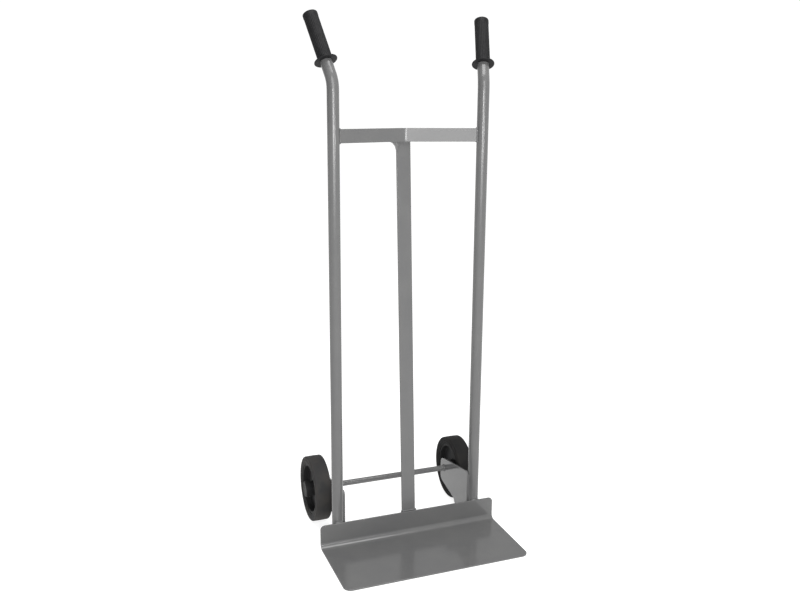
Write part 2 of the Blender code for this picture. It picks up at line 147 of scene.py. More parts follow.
@dataclass(frozen=True)
class Finish:
    """How one material looks, in real sizes.

    The colour and the roughness each drift between two values by a broad noise, as real batches,
    handling and dust make them do. The relief is a second, fine noise that only bends the shading.
    """

    name: str
    slot: str
    colour: tuple[float, float, float]
    tint: tuple[float, float, float]
    patch_size: float
    roughness: tuple[float, float]
    relief: Relief
    relief_size: float
    relief_depth: float
    wave_size: float = 0.0
    wave_depth: float = 0.0
    metallic: float = 0.0
    specular: float = 0.5

    def material(self) -> bpy.types.Material:
        """The finish's material, made once."""
        return build_material(self)


@dataclass(frozen=True)
class Mottling:
    """How the noises of every finish are read."""

    colour_range: tuple[float, float] = (0.35, 0.75)
    colour_layers: float = 4.0
    gloss_range: tuple[float, float] = (0.3, 0.7)
    gloss_layers: float = 3.0
    wave_layers: float = 1.0
    drawn_scale: tuple[float, float, float] = (0.03, 1.0, 1.0)


MOTTLING = Mottling()


def noise_node(tree: Tree, where: Socket, size: float, detail: float) -> Socket:
    """Add a noise whose patches are about a given size.

    Args:
        tree: The material's nodes.
        where: The coordinates that the noise reads.
        size: Width of a patch in metres.
        detail: Number of finer layers.

    Returns:
        The noise's value socket.
    """
    noise = tree.nodes.new("ShaderNodeTexNoise")
    noise.inputs["Scale"].default_value = 1.0 / size
    noise.inputs["Detail"].default_value = detail
    tree.links.new(where, noise.inputs["Vector"])
    return noise.outputs["Fac"]


def map_node(
    tree: Tree,
    value: Socket,
    source: tuple[float, float],
    target: tuple[float, float],
    smooth: bool = False,
) -> bpy.types.Node:
    """Map one range of a value onto another, and hold it beyond the range's ends.

    Args:
        tree: The nodes.
        value: The value.
        source: Where the range starts and ends.
        target: What its start and its end become.
        smooth: Whether the result eases in and out.

    Returns:
        The node, with the mapped value in its result.
    """
    node = tree.nodes.new("ShaderNodeMapRange")
    node.interpolation_type = "SMOOTHSTEP" if smooth else "LINEAR"
    tree.links.new(value, node.inputs["Value"])
    for label, number in zip(("From Min", "From Max", "To Min", "To Max"), source + target):
        node.inputs[label].default_value = number
    return node


def bump_node(tree: Tree, height: Socket, depth: float, below: Socket | None = None) -> Socket:
    """Bend the shading by a height field.

    Args:
        tree: The material's nodes.
        height: The height field.
        depth: Its depth in metres.
        below: An earlier bump that this one lies on.

    Returns:
        The bent normal.
    """
    bump = tree.nodes.new("ShaderNodeBump")
    bump.inputs["Strength"].default_value = 1.0
    bump.inputs["Distance"].default_value = depth
    tree.links.new(height, bump.inputs["Height"])
    if below is not None:
        tree.links.new(below, bump.inputs["Normal"])
    return bump.outputs["Normal"]


@cache
def build_material(finish: Finish) -> bpy.types.Material:
    """Build a finish's nodes on object coordinates.

    Args:
        finish: The finish.

    Returns:
        A material with one Principled shader.
    """
    material = bpy.data.materials.new(finish.name)
    material.use_nodes = True
    tree = material.node_tree
    shader = tree.nodes["Principled BSDF"]
    shader.inputs["Metallic"].default_value = finish.metallic
    shader.inputs["Specular IOR Level"].default_value = finish.specular
    place = tree.nodes.new("ShaderNodeTexCoord").outputs["Object"]

    ramp = tree.nodes.new("ShaderNodeValToRGB")
    stops = zip(ramp.color_ramp.elements, MOTTLING.colour_range, (finish.colour, finish.tint))
    for stop, position, colour in stops:
        stop.position = position
        stop.color = (*colour, 1.0)
    patches = noise_node(tree, place, finish.patch_size, MOTTLING.colour_layers)
    tree.links.new(patches, ramp.inputs["Fac"])
    tree.links.new(ramp.outputs["Color"], shader.inputs["Base Color"])

    finer = noise_node(tree, place, finish.patch_size / 2, MOTTLING.gloss_layers)
    gloss = map_node(tree, finer, MOTTLING.gloss_range, finish.roughness)
    tree.links.new(gloss.outputs["Result"], shader.inputs["Roughness"])

    wavy = None
    if finish.wave_depth:
        wave = noise_node(tree, place, finish.wave_size, MOTTLING.wave_layers)
        wavy = bump_node(tree, wave, finish.wave_depth)
    if finish.relief is Relief.DRAWN:
        mapping = tree.nodes.new("ShaderNodeMapping")
        mapping.inputs["Scale"].default_value = MOTTLING.drawn_scale
        tree.links.new(place, mapping.inputs["Vector"])
        place = mapping.outputs["Vector"]
    fine = noise_node(tree, place, finish.relief_size, finish.relief.layers)
    normal = bump_node(tree, fine, finish.relief_depth, wavy)
    tree.links.new(normal, shader.inputs["Normal"])
    return material


PAINT = Finish(
    name="grey_powder_coat",
    slot="grey_paint",
    colour=(0.100, 0.100, 0.101),
    tint=(0.111, 0.111, 0.110),
    patch_size=0.08,
    roughness=(0.13, 0.19),
    relief=Relief.ORANGE_PEEL,
    relief_size=0.0024,
    relief_depth=0.000006,
    wave_size=0.045,
    wave_depth=0.00008,
)
VINYL = Finish(
    name="black_grip_vinyl",
    slot="black_grip",
    colour=(0.009, 0.009, 0.0095),
    tint=(0.013, 0.013, 0.014),
    patch_size=0.02,
    roughness=(0.45, 0.6),
    relief=Relief.MOULDED,
    relief_size=0.0006,
    relief_depth=0.00002,
    specular=0.13,
)
RUBBER = Finish(
    name="black_tyre_rubber",
    slot="black_rubber",
    colour=(0.029, 0.029, 0.030),
    tint=(0.046, 0.043, 0.040),
    patch_size=0.035,
    roughness=(0.55, 0.75),
    relief=Relief.MOULDED,
    relief_size=0.0009,
    relief_depth=0.00003,
    specular=0.08,
)
# A darker copy of the same rubber for the right tyre: painted shade, not a different or cleaner rubber.
SHADED_RUBBER = replace(
    RUBBER,
    name="clean_tyre_rubber",
    colour=(0.013, 0.013, 0.0135),
    tint=(0.021, 0.020, 0.019),
    specular=0.06,
)
MOULDING = Finish(
    name="black_wheel_plastic",
    slot="black_plastic",
    colour=(0.011, 0.011, 0.0115),
    tint=(0.016, 0.016, 0.016),
    patch_size=0.03,
    roughness=(0.48, 0.6),
    relief=Relief.MOULDED,
    relief_size=0.0005,
    relief_depth=0.000012,
    specular=0.12,
)
ZINC = Finish(
    name="dull_zinc_plate",
    slot="zinc_steel",
    colour=(0.50, 0.50, 0.49),
    tint=(0.62, 0.61, 0.57),
    patch_size=0.006,
    roughness=(0.28, 0.42),
    relief=Relief.DRAWN,
    relief_size=0.0004,
    relief_depth=0.000006,
    metallic=1.0,
)
NYLON = Finish(
    name="pale_bearing_nylon",
    slot="pale_nylon",
    colour=(0.55, 0.53, 0.46),
    tint=(0.50, 0.47, 0.39),
    patch_size=0.01,
    roughness=(0.4, 0.5),
    relief=Relief.MOULDED,
    relief_size=0.0008,
    relief_depth=0.00001,
)


def unit(vectors: Array) -> Array:
    """Vectors divided by their own lengths."""
    return vectors / np.linalg.norm(vectors, axis=-1, keepdims=True)


def rounded(corners: Sequence[Corner], steps: int, closed: bool = True) -> Array:
    """Draw an outline through corners, each rounded by an arc of its own radius.

    The arc's centre lies on the corner's bisector, at radius / sin(half the corner's angle), and
    the arc starts at radius / tan(half the angle) before the corner.

    Args:
        corners: (u, v, radius) for each corner.
        steps: Number of steps in each arc.
        closed: Whether the last corner runs on to the first. If not, both keep their points.

    Returns:
        The points, one (u, v) a row.
    """
    places = np.array([corner[:2] for corner in corners])
    pieces = []
    for i, (_, _, radius) in enumerate(corners):
        if radius == 0.0 or (not closed and i in (0, len(corners) - 1)):
            pieces.append(places[i : i + 1])
            continue
        back = unit(places[i - 1] - places[i])
        ahead = unit(places[(i + 1) % len(corners)] - places[i])
        half = math.acos(float(back @ ahead)) / 2
        centre = places[i] + unit(back + ahead) * radius / math.sin(half)
        start = places[i] + back * radius / math.tan(half) - centre
        turn = math.copysign(math.pi - 2 * half, ahead[0] * back[1] - ahead[1] * back[0])
        angles = math.atan2(start[1], start[0]) + np.linspace(0.0, turn, steps + 1)
        pieces.append(centre + radius * np.stack((np.cos(angles), np.sin(angles)), axis=1))
    return np.concatenate(pieces)


def quarter_round(radius: float, steps: int) -> tuple[Array, Array]:
    """Insets radius * (1 - sin a) and drops radius * (1 - cos a), for a up to a quarter turn."""
    turn = np.linspace(0.0, math.pi / 2, steps + 1)
    return radius * (1 - np.sin(turn)), radius * (1 - np.cos(turn))


def edge_rounding(half: float, radius: float, steps: int) -> tuple[Array, Array]:
    """Round both edges of a plate's rim.

    Args:
        half: Half the plate's thickness.
        radius: Radius of each edge.
        steps: Steps in each quarter turn.

    Returns:
        How far each row lies inside the rim, and its level.
    """
    inset, drop = quarter_round(radius, steps)
    level = half - drop
    return np.concatenate((inset, inset[::-1])), np.concatenate((level, -level[::-1]))


def turned(profile: Array, origin: Sequence[float], axis: Sequence[float], sides: int) -> Array:
    """Spin a profile about an axis.

    A point is origin + height * axis + radius * (cos a * across + sin a * up).

    Args:
        profile: (radius, height) points, or (radius, height) grids with a column for each side.
        origin: Where height is zero.
        axis: Direction of the axis, which doesn't lie along Y.
        sides: Number of columns.

    Returns:
        A grid of points, a row for each profile point.
    """
    along = unit(np.array(axis, float))
    across = unit(np.cross((0.0, 1.0, 0.0), along))
    up = np.cross(along, across)
    angles = np.arange(sides) * 2 * math.pi / sides
    spokes = np.cos(angles)[:, None] * across + np.sin(angles)[:, None] * up
    radius, height = profile[..., 0], profile[..., 1]
    if profile.ndim == 2:
        radius, height = radius[:, None], height[:, None]
    return np.array(origin) + height[..., None] * along + radius[..., None] * spokes


def tube(path: Array, normal: Sequence[float], radii: Array | float, sides: int) -> Array:
    """Carry a ring along a path that lies in one plane.

    The ring's first direction is normal x tangent, its second the plane's normal.

    Args:
        path: The path's points.
        normal: The plane's normal.
        radii: The ring's radius at each point.
        sides: Number of points round the ring.

    Returns:
        A grid of points, a row for each point of the path.
    """
    tangents = unit(np.gradient(path, axis=0))
    sideways = unit(np.cross(np.array(normal, float), tangents))
    angles = np.arange(sides) * 2 * math.pi / sides
    spokes = np.cos(angles)[None, :, None] * sideways[:, None] + np.sin(angles)[None, :, None] * normal
    return path[:, None] + np.broadcast_to(radii, len(path))[:, None, None] * spokes


def quads(rows: int, columns: int, ends: Ends, wrapped: bool) -> Array:
    """Number the corners of a grid's four-sided faces.

    Args:
        rows: Number of rows.
        columns: Number of columns.
        ends: How the first and the last row are closed.
        wrapped: Whether the last column runs on into the first.

    Returns:
        Four corner numbers for each face.
    """
    i, j = np.meshgrid(
        np.arange(rows if ends is Ends.JOINED else rows - 1),
        np.arange(columns if wrapped else columns - 1),
        indexing="ij",
    )
    here, there = i * columns, (i + 1) % rows * columns
    after = (j + 1) % columns
    return np.stack((here + j, here + after, there + after, there + j), axis=-1).reshape(-1, 4)


@dataclass(frozen=True)
class Skin:
    """A grid of points and how it closes. Its columns go round, unless it isn't wrapped."""

    points: Array
    ends: Ends = Ends.CAPPED
    wrapped: bool = True

    def faces(self, first: int) -> list[list[int]]:
        """List the skin's faces.

        Args:
            first: Number of the skin's first point.

        Returns:
            The corner numbers of each face.
        """
        rows, columns = self.points.shape[:2]
        found = (quads(rows, columns, self.ends, self.wrapped) + first).tolist()
        if self.ends is Ends.CAPPED:
            ring = np.arange(columns)
            found += [(ring[::-1] + first).tolist(), (ring + first + (rows - 1) * columns).tolist()]
        return found


def put_piece(name: str, skins: Sequence[Skin], finish: Finish) -> bpy.types.Object:
    """Make one closed piece from its skins.

    Points that coincide, at seams and poles, are merged, and the faces are turned outwards.

    Args:
        name: The piece's name.
        skins: Its skins.
        finish: Its finish.

    Returns:
        The piece, at the origin.
    """
    starts = np.cumsum([0] + [skin.points.shape[0] * skin.points.shape[1] for skin in skins])
    faces = [face for skin, start in zip(skins, starts) for face in skin.faces(int(start))]
    points = np.concatenate([skin.points.reshape(-1, 3) for skin in skins])
    mesh = bpy.data.meshes.new(name)
    mesh.from_pydata(points.tolist(), [], faces)
    bm = bmesh.new()
    bm.from_mesh(mesh)
    bmesh.ops.remove_doubles(bm, verts=bm.verts, dist=MERGE_DISTANCE)
    bmesh.ops.recalc_face_normals(bm, faces=bm.faces)
    bm.to_mesh(mesh)
    bm.free()
    mesh.shade_smooth()
    mesh.set_sharp_from_angle(angle=SHARP_ANGLE)
    piece = bpy.data.objects.new(name, mesh)
    bpy.context.scene.collection.objects.link(piece)
    piece.data.materials.append(finish.material())
    return piece


def drill(piece: bpy.types.Object, holes: Sequence[Array]) -> None:
    """Cut round holes through a piece for good.

    Args:
        piece: The piece.
        holes: A grid for each hole's plug, capped at its ends.
    """
    plugs = []
    for number, grid in enumerate(holes):
        plug = put_piece(f"{piece.name}_plug_{number}", [Skin(grid)], PAINT)
        cutter = piece.modifiers.new(plug.name, "BOOLEAN")
        cutter.operation = "DIFFERENCE"
        cutter.object = plug
        plugs.append(plug)
    whole = piece.evaluated_get(bpy.context.evaluated_depsgraph_get())
    mesh = bpy.data.meshes.new_from_object(whole)
    piece.modifiers.clear()
    piece.data = mesh
    for plug in plugs:
        bpy.data.objects.remove(plug)


@dataclass
class SubAssembly:
    """Pieces that are made together. Each rides on a body and may stand for a node."""

    def add(
        self,
        name: str,
        skins: Sequence[Skin],
        finish: Finish,
        body: str = "frame",
        node: str | None = None,
        holes: Sequence[Array] = (),
    ) -> bpy.types.Object:
        """Make a piece, dress it and let it ride.

        Args:
            name: The piece's name.
            skins: Its skins.
            finish: Its finish.
            body: The body that it rides on.
            node: The frame's node that it stands for.
            holes: Plugs of the holes that are cut through it.

        Returns:
            The piece.
        """
        piece = put_piece(name, skins, finish)
        if holes:
            drill(piece, holes)
        weighted = piece.modifiers.new("even_faces", "WEIGHTED_NORMAL")
        weighted.keep_sharp = True
        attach(piece, body)
        if node:
            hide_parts(node)
        log.info("%s: %d faces, %s, on %s", name, len(piece.data.polygons), finish.name, body)
        return piece


@dataclass
class ToePlate(SubAssembly):
    """One sheet bent to an L: a plate that lies on the floor, and the upstand behind the load."""

    thickness: float = 0.004
    bend_radius: float = 0.013
    front_corner: float = 0.020
    top_corner: float = 0.012
    edge_radius: float = 0.0010
    edge_steps: int = 4
    columns: int = 25
    corner_steps: int = 12
    plate_rows: int = 12
    bend_rows: int = 25
    upstand_rows: int = 4

    def __post_init__(self) -> None:
        """Read the sheet's place and lengths from its node."""
        self.box = Box.of("toe_plate")
        self.middle_bend = self.bend_radius + self.thickness / 2
        self.flat = self.box.size[1] - self.thickness - self.bend_radius
        self.upright = self.box.size[2] - self.thickness - self.bend_radius
        self.bend_end = self.flat + self.middle_bend * math.pi / 2
        self.length = self.bend_end + self.upright

    def to_space(self, across: Array, along: Array, level: Array) -> Array:
        """Bend points of the flat sheet into the L.

        Up to the bend a point lies at front + along. In the bend it has turned by the length past
        the flat part over the bend's middle radius, and after it the sheet runs straight up. The
        level is measured square to the sheet, towards the load.

        Args:
            across: Distance from the middle, along X.
            along: Distance from the front edge along the sheet's middle.
            level: Height above the sheet's middle.

        Returns:
            The points in space.
        """
        past = along - self.flat
        turn = np.clip(past / self.middle_bend, 0.0, math.pi / 2)
        straight = np.where(past < 0, past, 0.0)
        rise = np.clip(along - self.bend_end, 0.0, None)
        start = self.box.low[1] + self.flat
        y = start + straight + self.middle_bend * np.sin(turn) - level * np.sin(turn)
        z = self.thickness / 2 + self.middle_bend * (1 - np.cos(turn)) + rise + level * np.cos(turn)
        return np.stack(np.broadcast_arrays(across, y, z), axis=-1)

    def corner(self, radius: float, from_front: bool) -> tuple[Array, Array, Array, Array]:
        """Draw the edge line round one end's corner, set in by the edge radius.

        For a turn t from the end to the side, the line lies at half width - radius + (radius -
        edge) * sin t across and radius - (radius - edge) * cos t from the end.

        Args:
            radius: The corner's radius.
            from_front: Whether it is at the plate's front edge, and not at the upstand's top.

        Returns:
            The line's places across and along, and the outward direction's parts across and along.
        """
        turn = np.linspace(0.0, math.pi / 2, self.corner_steps + 1)
        across = self.box.high[0] - radius + (radius - self.edge_radius) * np.sin(turn)
        along = radius - (radius - self.edge_radius) * np.cos(turn)
        if from_front:
            return across, along, np.sin(turn), -np.cos(turn)
        return across[::-1], self.length - along[::-1], np.sin(turn)[::-1], np.cos(turn)[::-1]

    def build(self) -> None:
        """Carry the sheet's section from the front edge to the upstand's top."""
        front = self.corner(self.front_corner, True)
        top = self.corner(self.top_corner, False)
        between = np.concatenate(
            (
                np.linspace(self.front_corner, self.flat, self.plate_rows)[1:],
                np.linspace(self.flat, self.bend_end, self.bend_rows)[1:],
                np.linspace(self.bend_end, self.length - self.top_corner, self.upstand_rows)[1:-1],
            )
        )
        side = np.full(len(between), self.box.high[0] - self.edge_radius)
        middle = (side, between, np.ones(len(between)), np.zeros(len(between)))
        edge, along, out, ahead = (np.concatenate(parts) for parts in zip(front, middle, top))
        inset, level = edge_rounding(self.thickness / 2, self.edge_radius, self.edge_steps)
        reach = self.edge_radius - inset
        share = np.linspace(-1.0, 1.0, self.columns)
        half = np.full(self.columns - 2, self.thickness / 2)
        side_share = np.ones(len(reach))
        ring_share = np.concatenate((share[1:-1], side_share, share[-2:0:-1], -side_share))
        ring_reach = np.concatenate((0 * half, reach, 0 * half, reach[::-1]))
        ring_level = np.concatenate((half, level, -half, level[::-1]))
        across = ring_share * edge[:, None] + np.sign(ring_share) * ring_reach * out[:, None]
        along = along[:, None] + ring_reach * ahead[:, None]
        skins = [Skin(self.to_space(across, along, ring_level), Ends.OPEN)]
        front_rows = self.edge_radius - reach
        for line, rows in ((edge[0], front_rows), (edge[-1], self.length - front_rows)):
            grid = self.to_space(share * line, rows[:, None], level[:, None])
            skins.append(Skin(grid, Ends.OPEN, wrapped=False))
        self.add("toe_plate_sheet", skins, PAINT, node="toe_plate")


@dataclass
class HandleLine:
    """The middle line of a rail: straight up, round the bend, and straight on into the grip."""

    side: Side
    radius: float = 0.015
    bend_height: float = 1.176
    bend_radius: float = 0.070
    neck: float = 0.034
    grip_length: float = 0.130
    lean: float = math.radians(30.0)
    splay: float = math.radians(19.3)

    def __post_init__(self) -> None:
        """Find the line's foot, its plane and the grip's mouth."""
        toe, bracket = Box.of("toe_plate"), Box.of("right_wheel_bracket")
        self.x = self.side.value * (bracket.high[0] + WELD_GAP + self.radius)
        self.y = toe.high[1] + WELD_GAP + self.radius
        self.foot = Box.of(self.side.named("rail")).low[2]
        self.level = np.array((self.side.value * math.sin(self.splay), math.cos(self.splay), 0.0))
        self.normal = np.cross(self.level, UP)
        self.direction = self.level * math.sin(self.lean) + UP * math.cos(self.lean)
        self.mouth = self.at(np.array([self.grip_start]))[0]

    @property
    def grip_start(self) -> float:
        """Length of the line up to the grip's mouth."""
        return self.bend_height - self.foot + self.bend_radius * self.lean + self.neck

    def at(self, length: Array) -> Array:
        """Find the points at given lengths from the foot.

        In the bend the line has turned by t = length past the bend's start / bend radius, and lies
        bend radius * (1 - cos t) back and bend radius * sin t up. After it, it runs on straight.

        Args:
            length: The lengths along the line.

        Returns:
            The points.
        """
        past = length - (self.bend_height - self.foot)
        turn = np.clip(past / self.bend_radius, 0.0, self.lean)
        beyond = np.clip(past - self.bend_radius * self.lean, 0.0, None)
        back = self.bend_radius * (1 - np.cos(turn))
        height = self.bend_height + np.minimum(past, 0.0) + self.bend_radius * np.sin(turn)
        start = np.array((self.x, self.y, 0.0))
        return start + back[:, None] * self.level + height[:, None] * UP + beyond[:, None] * self.direction


@dataclass
class Rail(SubAssembly):
    """A hollow round tube with a handle bent at its top."""

    side: Side = Side.LEFT
    wall: float = 0.002
    edge_radius: float = 0.0005
    grip_end_wall: float = 0.004
    sides: int = 72
    edge_steps: int = 3
    straight_rows: int = 16
    bend_rows: int = 25
    neck_rows: int = 6

    def build(self) -> None:
        """Carry the tube's wall up its outside and down its inside."""
        line = HandleLine(self.side)
        end = line.grip_start + line.grip_length - self.grip_end_wall - WELD_GAP
        bend = line.bend_height - line.foot
        inset, drop = quarter_round(self.edge_radius, self.edge_steps)
        length = np.concatenate(
            (
                np.linspace(self.edge_radius, bend, self.straight_rows)[:-1],
                np.linspace(bend, bend + line.bend_radius * line.lean, self.bend_rows),
                np.linspace(line.grip_start, end - self.edge_radius, self.neck_rows),
            )
        )
        rows = np.concatenate((drop[:-1], length, end - drop[::-1][1:]))
        inset = np.concatenate((inset[:-1], 0 * length, inset[::-1][1:]))
        path = line.at(rows)
        outer = tube(path, line.normal, line.radius - inset, self.sides)
        inner = tube(path, line.normal, line.radius - self.wall + inset, self.sides)
        grid = np.concatenate((outer, inner[::-1]))
        name = self.side.named("rail")
        self.add(name + "_tube", [Skin(grid, Ends.JOINED)], PAINT, node=name)


@dataclass
class Grip(SubAssembly):
    """A moulded sleeve with a thin round guard, a thicker head and fine lengthwise flutes."""

    side: Side = Side.LEFT
    wall: float = 0.0028
    end_wall: float = 0.004
    head_step: float = 0.0005
    head_length: float = 0.011
    head_edge: float = 0.003
    guard_reach: float = 0.0105
    guard_thickness: float = 0.0035
    lip_share: float = 0.45
    guard_fillet: float = 0.005
    flutes: int = 30
    flute_depth: float = 0.00055
    flute_run_out: float = 0.004
    flute_rows: int = 31
    arc_steps: int = 8
    sides: int = 240

    def profile(self, bore: float, length: float) -> Array:
        """Draw the outline from the blind end of the bore to the middle of the top.

        Args:
            bore: Radius of the bore.
            length: Length of the grip.

        Returns:
            The points as (radius, height).
        """
        body = bore + self.wall
        head = body + self.head_step
        guard = body + self.guard_reach
        lip = self.guard_thickness * self.lip_share
        corners = [
            (0.0, length - self.end_wall, 0.0),
            (bore, length - self.end_wall, self.head_step),
            (bore, 0.0, self.head_step / 3),
            (guard, 0.0, lip),
            (guard, self.guard_thickness, lip),
            (body, self.guard_thickness, self.guard_fillet),
            (body, length - self.head_length - self.head_step, self.head_step),
            (head, length - self.head_length, self.head_step),
            (head, length, self.head_edge),
            (0.0, length, 0.0),
        ]
        return rounded(corners, self.arc_steps, closed=False)

    def build(self) -> None:
        """Turn the profile and press the flutes into the body.

        The radius is lessened by depth * fade * (1 - cos(flutes * angle)) / 2, where the fade
        rises from 0 to 1 over the run-out at the guard and at the head.
        """
        line = HandleLine(self.side)
        bore = line.radius + WELD_GAP
        profile = self.profile(bore, line.grip_length)
        low = self.guard_thickness + self.guard_fillet
        high = line.grip_length - self.head_length - self.head_step * 2
        split = int(np.argmax((profile[:, 1] > low) & (profile[:, 0] > bore)))
        body = np.linspace(low, high, self.flute_rows)[1:-1]
        straight = np.stack((np.full(len(body), bore + self.wall), body), axis=1)
        profile = np.insert(profile, split, straight, axis=0)
        from_end = np.minimum(profile[:, 1] - low, high - profile[:, 1])
        fade = np.clip(from_end / self.flute_run_out, 0.0, 1.0)
        fade = np.where(profile[:, 0] > bore + self.wall / 2, fade, 0.0)
        angles = np.arange(self.sides) * 2 * math.pi / self.sides
        dip = (1 - np.cos(self.flutes * angles)) / 2 * self.flute_depth
        radius = profile[:, :1] - fade[:, None] * dip
        grid = np.stack((radius, np.broadcast_to(profile[:, 1:], radius.shape)), axis=-1)
        points = turned(grid, line.mouth, line.direction, self.sides)
        name = self.side.named("grip")
        self.add(name + "_sleeve", [Skin(points, Ends.OPEN)], VINYL, node=name)


def soft_section(half_u: float, half_v: float, radius: float, steps: int) -> Array:
    """Outline of a rectangle about zero, each corner rounded in a number of steps."""
    signs = ((1, 1), (-1, 1), (-1, -1), (1, -1))
    return rounded([(u * half_u, v * half_v, radius) for u, v in signs], steps)


@dataclass
class CrossFrame(SubAssembly):
    """The crossbar, a flat bar on edge bent back at its middle, and the flat post below it."""

    bar_bend: float = 0.052
    edge_radius: float = 0.0009
    edge_steps: int = 4
    rounding_share: float = 0.01
    bend_steps: int = 32
    post_rows: int = 19
    margin_share: float = 0.05

    def build(self) -> None:
        """Make both bars."""
        self.build_crossbar()
        self.build_post()

    def build_crossbar(self) -> None:
        """Carry the bar's section from the left rail, round the bend, to the right rail.

        The bend's centre lies its radius before the bar's middle. Each half runs from the rail
        tangent to the bend, so its slope is asin(radius / reach) + atan(setback / half span),
        with reach the distance from the rail's contact to the bend's centre.
        """
        box = Box.of("crossbar")
        half = BAR_THICKNESS / 2
        line = HandleLine(Side.RIGHT)
        vertex = box.high[1] - half
        centre_y = vertex - self.bar_bend
        reach = math.hypot(box.high[0], centre_y - line.y)
        slope = math.asin(self.bar_bend / reach) + math.atan2(centre_y - line.y, box.high[0])
        turn = np.linspace(-slope, slope, self.bend_steps + 1)
        outward = np.stack((np.sin(turn), np.cos(turn), 0 * turn), axis=1)
        middle = np.array((0.0, centre_y, box.centre[2])) + outward * self.bar_bend
        ends = np.array((box.high[0], line.y, box.centre[2])) * np.array(((-1, 1, 1), (1, 1, 1)))
        path = np.concatenate((ends[:1], middle, ends[1:]))
        cut = np.array(((0.0, 1 / math.cos(slope), 0.0),))
        across = np.concatenate((cut, outward, cut))
        section = soft_section(half, box.size[2] / 2, self.edge_radius, self.edge_steps)
        grid = path[:, None] + section[None, :, :1] * across[:, None] + section[None, :, 1:] * UP
        self.add("crossbar_bar", [Skin(grid)], PAINT, node="crossbar")

    def build_post(self) -> None:
        """Carry the post's section up its lean, drawn in by the edge radius at both ends."""
        box = Box.of("centre_post")
        half = BAR_THICKNESS / 2
        foot = np.array((0.0, box.low[1] + half, box.low[2]))
        top = np.array((0.0, box.high[1] - half, box.high[2]))
        edge = self.edge_radius
        inset, drop = quarter_round(edge, self.edge_steps)
        lift = drop / (top[2] - foot[2])
        between = np.linspace(self.margin_share, 1 - self.margin_share, self.post_rows)
        share = np.concatenate((lift, between, 1 - lift[::-1]))
        inset = np.concatenate((inset, 0 * between, inset[::-1]))
        wide = box.size[0] / 2
        whole = soft_section(wide, half, edge, self.edge_steps)
        small = soft_section(wide - edge, half - edge, self.rounding_share * edge, self.edge_steps)
        blend = (inset / edge)[:, None, None]
        section = whole * (1 - blend) + small * blend
        path = foot + share[:, None] * (top - foot)
        grid = path[:, None] + np.concatenate((section, np.zeros_like(section[..., :1])), axis=-1)
        self.add("centre_post_bar", [Skin(grid)], PAINT, node="centre_post")


@dataclass
class WheelBracket(SubAssembly):
    """A plate welded inside the rail: low foot in front, step up, and the axle's hole behind."""

    side: Side = Side.LEFT
    front_height: float = 0.147
    foot_length: float = 0.075
    step_length: float = 0.013
    step_height: float = 0.018
    rear_rise: float = 0.026
    rear_drop: float = 0.040
    small_radius: float = 0.005
    front_radius: float = 0.010
    rear_radius: float = 0.018
    edge_radius: float = 0.0008
    edge_steps: int = 4
    corner_steps: int = 14
    plug_half: float = 0.01
    plug_sides: int = 64

    def build(self) -> None:
        """Lay the outline at each level of the rounded rim and drill the axle's hole."""
        name = self.side.named("wheel_bracket")
        box, axle = Box.of(name), Box.of("axle")
        front, rear, low = box.low[1], box.high[1], box.low[2]
        foot = front + self.foot_length
        corners = [
            (front, low, self.small_radius),
            (foot, low, self.small_radius),
            (foot + self.step_length, low + self.step_height, self.front_radius),
            (rear, axle.centre[2] - self.rear_drop, self.rear_radius),
            (rear, axle.centre[2] + self.rear_rise, self.rear_radius),
            (front, self.front_height, self.front_radius),
        ]
        outline = rounded(corners, self.corner_steps)
        tangent = unit(np.roll(outline, -1, axis=0) - np.roll(outline, 1, axis=0))
        outward = np.stack((tangent[:, 1], -tangent[:, 0]), axis=1)
        inset, level = edge_rounding(box.size[0] / 2, self.edge_radius, self.edge_steps)
        ring = outline[None] - inset[:, None, None] * outward[None]
        x = np.broadcast_to((box.centre[0] + level)[:, None, None], ring[..., :1].shape)
        grid = np.concatenate((x, ring), axis=-1)
        bore = axle.size[2] / 2 + WELD_GAP
        hole = np.array(((bore, -self.plug_half), (bore, self.plug_half)))
        plug = turned(hole, (box.centre[0], *axle.centre[1:]), RIGHT, self.plug_sides)
        self.add(name + "_plate", [Skin(grid)], PAINT, node=name, holes=[plug])


